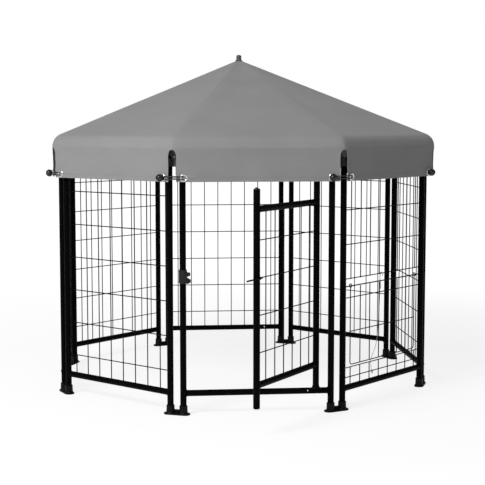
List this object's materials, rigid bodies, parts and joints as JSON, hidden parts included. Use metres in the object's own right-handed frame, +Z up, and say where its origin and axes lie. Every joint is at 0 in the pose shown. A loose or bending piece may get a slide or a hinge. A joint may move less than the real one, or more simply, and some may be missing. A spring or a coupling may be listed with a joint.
{
  "type": "pet shelter",
  "caption": "Octagonal steel tube and wire mesh pet shelter with a swinging gate, a flap hatch and a fabric canopy over a hub and rafters.",
  "frame": {"origin": "on the ground, under the middle of the bounding box of the shelter with its gate standing open", "axes": "+Z up, the gate panel faces -Y, +X to the right seen from in front of the gate"},
  "size_m": [1.6816, 2.0932, 1.443],
  "materials": {
    "black_powder_coat": "satin black powder coat over steel tube and wire",
    "rafter_steel": "satin black painted steel rod",
    "black_plastic": "moulded black plastic",
    "dark_grey_plastic": "moulded dark grey plastic",
    "grey_fabric": "woven coated grey cloth, matt",
    "black_elastic": "braided black elastic cord with a moulded ball",
    "hook_steel": "grey coated steel wire",
    "grey_cord": "thin twisted grey cord"
  },
  "bodies": {
    "shelter": {"front_frame": "black_powder_coat", "front_right_frame": "black_powder_coat", "right_frame": "black_powder_coat", "back_right_frame": "black_powder_coat", "back_frame": "black_powder_coat", "back_left_frame": "black_powder_coat", "left_frame": "black_powder_coat", "front_left_frame": "black_powder_coat", "right_mesh": "black_powder_coat", "back_right_mesh": "black_powder_coat", "back_mesh": "black_powder_coat", "back_left_mesh": "black_powder_coat", "left_mesh": "black_powder_coat", "front_left_mesh": "black_powder_coat", "front_right_upper_mesh": "black_powder_coat", "front_right_lower_mesh": "black_powder_coat", "gate_lower_bushing": "black_powder_coat", "gate_upper_bushing": "black_powder_coat", "latch_bracket": "black_powder_coat", "rafter_after_front": "rafter_steel", "rafter_after_front_right": "rafter_steel", "rafter_after_right": "rafter_steel", "rafter_after_back_right": "rafter_steel", "rafter_after_back": "rafter_steel", "rafter_after_back_left": "rafter_steel", "rafter_after_left": "rafter_steel", "rafter_after_front_left": "rafter_steel", "foot_after_front": "black_plastic", "foot_after_front_right": "black_plastic", "foot_after_right": "black_plastic", "foot_after_back_right": "black_plastic", "foot_after_back": "black_plastic", "foot_after_back_left": "black_plastic", "foot_after_left": "black_plastic", "foot_after_front_left": "black_plastic", "bracket_after_front": "dark_grey_plastic", "bracket_after_front_right": "dark_grey_plastic", "bracket_after_right": "dark_grey_plastic", "bracket_after_back_right": "dark_grey_plastic", "bracket_after_back": "dark_grey_plastic", "bracket_after_back_left": "dark_grey_plastic", "bracket_after_left": "dark_grey_plastic", "bracket_after_front_left": "dark_grey_plastic", "roof_hub": "dark_grey_plastic", "finial_knob": "dark_grey_plastic", "canopy_cover": "grey_fabric", "bungee_after_front": "black_elastic", "bungee_after_front_right": "black_elastic", "bungee_after_right": "black_elastic", "bungee_after_back_right": "black_elastic", "bungee_after_back": "black_elastic", "bungee_after_back_left": "black_elastic", "bungee_after_left": "black_elastic", "bungee_after_front_left": "black_elastic", "hatch_cord": "grey_cord"},
    "gate": {"gate_frame": "black_powder_coat", "gate_mesh": "black_powder_coat"},
    "catch": {"latch_catch": "black_powder_coat"},
    "hatch": {"hatch_door": "black_powder_coat"},
    "hook": {"hatch_hook": "hook_steel"}
  },
  "joints": [
    {"name": "gate_swing", "type": "hinge", "parent": "shelter", "child": "gate", "pos_m": [0.2325, -0.5709, 0.5], "axis": [0, 0, 1], "range_deg": [-54, 90]},
    {"name": "catch_turn", "type": "hinge", "parent": "shelter", "child": "catch", "pos_m": [-0.2885, -0.5929, 0.56], "axis": [0, 1, 0], "range_deg": [0, 180]},
    {"name": "hatch_swing", "type": "hinge", "parent": "shelter", "child": "hatch", "pos_m": [0.54922, -0.34341, 0.494], "axis": [-0.7071, -0.7071, 0], "range_deg": [0, 150]},
    {"name": "hook_lift", "type": "slide", "parent": "shelter", "child": "hook", "axis": [0, 0, 1], "range_m": [0, 0.012], "deforming": ["hatch_cord"]}
  ]
}
